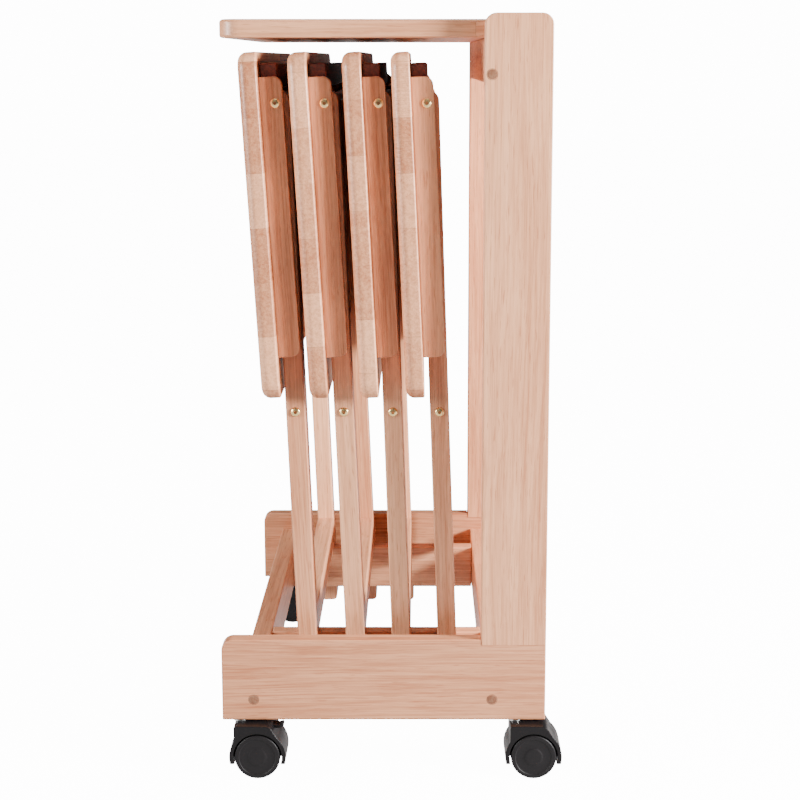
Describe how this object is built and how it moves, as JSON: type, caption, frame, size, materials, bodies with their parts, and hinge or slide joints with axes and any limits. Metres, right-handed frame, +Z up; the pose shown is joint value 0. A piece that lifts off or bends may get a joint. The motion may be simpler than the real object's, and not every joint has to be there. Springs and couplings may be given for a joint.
{
  "type": "folding tray table stand",
  "caption": "Folding wooden tray tables hung closed in a rolling wooden storage stand with a top board and swivel casters.",
  "frame": {"origin": "on the floor under the middle of the whole object", "axes": "+X from the open front towards the posts, +Y to the left side frame, +Z up"},
  "size_m": [0.3731, 0.534, 0.828],
  "materials": {
    "rubberwood": "clear satin lacquer",
    "dark_wood": "dark stained, satin",
    "brass": "plain",
    "zinc_steel": "zinc plated",
    "black_plastic": "moulded satin",
    "black_wheel": "moulded matt"
  },
  "bodies": {
    "stand": {"back_caster_left_stem": "zinc_steel", "back_caster_right_stem": "zinc_steel", "back_crossbar": "rubberwood", "front_caster_left_stem": "zinc_steel", "front_caster_right_stem": "zinc_steel", "front_crossbar": "rubberwood", "ledger_left": "rubberwood", "ledger_right": "rubberwood", "post_left": "rubberwood", "post_right": "rubberwood", "side_rail_left": "rubberwood", "side_rail_right": "rubberwood", "top_apron": "rubberwood", "top_board": "rubberwood"},
    "front_tray": {"tray_1_cleat_left": "rubberwood", "tray_1_cleat_right": "rubberwood", "tray_1_end_batten": "dark_wood", "tray_1_hinge_bolt_left": "brass", "tray_1_hinge_bolt_right": "brass", "tray_1_panel": "rubberwood"},
    "front_tray_legs": {"tray_1_inner_leg_left": "rubberwood", "tray_1_inner_leg_right": "rubberwood", "tray_1_outer_leg_left": "rubberwood", "tray_1_outer_leg_right": "rubberwood", "tray_1_stretcher": "rubberwood"},
    "second_tray": {"tray_2_cleat_left": "rubberwood", "tray_2_cleat_right": "rubberwood", "tray_2_end_batten": "dark_wood", "tray_2_panel": "rubberwood", "tray_2_inner_leg_left": "rubberwood", "tray_2_inner_leg_right": "rubberwood", "tray_2_outer_leg_left": "rubberwood", "tray_2_outer_leg_right": "rubberwood", "tray_2_stretcher": "rubberwood"},
    "third_tray": {"tray_3_cleat_left": "rubberwood", "tray_3_cleat_right": "rubberwood", "tray_3_end_batten": "dark_wood", "tray_3_panel": "rubberwood", "tray_3_inner_leg_left": "rubberwood", "tray_3_inner_leg_right": "rubberwood", "tray_3_outer_leg_left": "rubberwood", "tray_3_outer_leg_right": "rubberwood", "tray_3_stretcher": "rubberwood"},
    "back_tray": {"tray_4_cleat_left": "rubberwood", "tray_4_cleat_right": "rubberwood", "tray_4_end_batten": "dark_wood", "tray_4_panel": "rubberwood", "tray_4_inner_leg_left": "rubberwood", "tray_4_inner_leg_right": "rubberwood", "tray_4_outer_leg_left": "rubberwood", "tray_4_outer_leg_right": "rubberwood", "tray_4_stretcher": "rubberwood"},
    "front_caster_right_swivel": {"front_caster_right_hood": "black_plastic"},
    "front_caster_right_roller": {"front_caster_right_wheels": "black_wheel"},
    "front_caster_left_swivel": {"front_caster_left_hood": "black_plastic"},
    "front_caster_left_roller": {"front_caster_left_wheels": "black_wheel"},
    "back_caster_right_swivel": {"back_caster_right_hood": "black_plastic"},
    "back_caster_right_roller": {"back_caster_right_wheels": "black_wheel"},
    "back_caster_left_swivel": {"back_caster_left_hood": "black_plastic"},
    "back_caster_left_roller": {"back_caster_left_wheels": "black_wheel"}
  },
  "joints": [
    {"name": "front_tray_pull_out", "type": "slide", "parent": "stand", "child": "front_tray", "axis": [-0.9683, 0, 0.2496], "range_m": [0, 0.957]},
    {"name": "front_tray_leg_swing", "type": "hinge", "parent": "front_tray", "child": "front_tray_legs", "pos_m": [-0.12145, 0, 0.735], "axis": [0, -1, 0], "range_deg": [0, 67.2]},
    {"name": "second_tray_lift", "type": "slide", "parent": "stand", "child": "second_tray", "axis": [0, 0, 1], "range_m": [0, 0.01]},
    {"name": "third_tray_lift", "type": "slide", "parent": "stand", "child": "third_tray", "axis": [0, 0, 1], "range_m": [0, 0.01]},
    {"name": "back_tray_lift", "type": "slide", "parent": "stand", "child": "back_tray", "axis": [0, 0, 1], "range_m": [0, 0.01]},
    {"name": "front_caster_right_turn", "type": "hinge", "parent": "stand", "child": "front_caster_right_swivel", "pos_m": [-0.16755, -0.245, 0.055], "axis": [0, 0, 1], "continuous": true},
    {"name": "front_caster_right_roll", "type": "hinge", "parent": "front_caster_right_swivel", "child": "front_caster_right_roller", "pos_m": [-0.14755, -0.245, 0.025], "axis": [0, 1, 0], "continuous": true},
    {"name": "front_caster_left_turn", "type": "hinge", "parent": "stand", "child": "front_caster_left_swivel", "pos_m": [-0.16755, 0.245, 0.055], "axis": [0, 0, 1], "continuous": true},
    {"name": "front_caster_left_roll", "type": "hinge", "parent": "front_caster_left_swivel", "child": "front_caster_left_roller", "pos_m": [-0.14755, 0.245, 0.025], "axis": [0, 1, 0], "continuous": true},
    {"name": "back_caster_right_turn", "type": "hinge", "parent": "stand", "child": "back_caster_right_swivel", "pos_m": [0.13545, -0.245, 0.055], "axis": [0, 0, 1], "continuous": true},
    {"name": "back_caster_right_roll", "type": "hinge", "parent": "back_caster_right_swivel", "child": "back_caster_right_roller", "pos_m": [0.15545, -0.245, 0.025], "axis": [0, 1, 0], "continuous": true},
    {"name": "back_caster_left_turn", "type": "hinge", "parent": "stand", "child": "back_caster_left_swivel", "pos_m": [0.13545, 0.245, 0.055], "axis": [0, 0, 1], "continuous": true},
    {"name": "back_caster_left_roll", "type": "hinge", "parent": "back_caster_left_swivel", "child": "back_caster_left_roller", "pos_m": [0.15545, 0.245, 0.025], "axis": [0, 1, 0], "continuous": true}
  ],
  "couplings": [
    {"joint": "front_tray_leg_swing", "follows": "front_tray_pull_out", "rad_per_m": 1.2219}
  ]
}
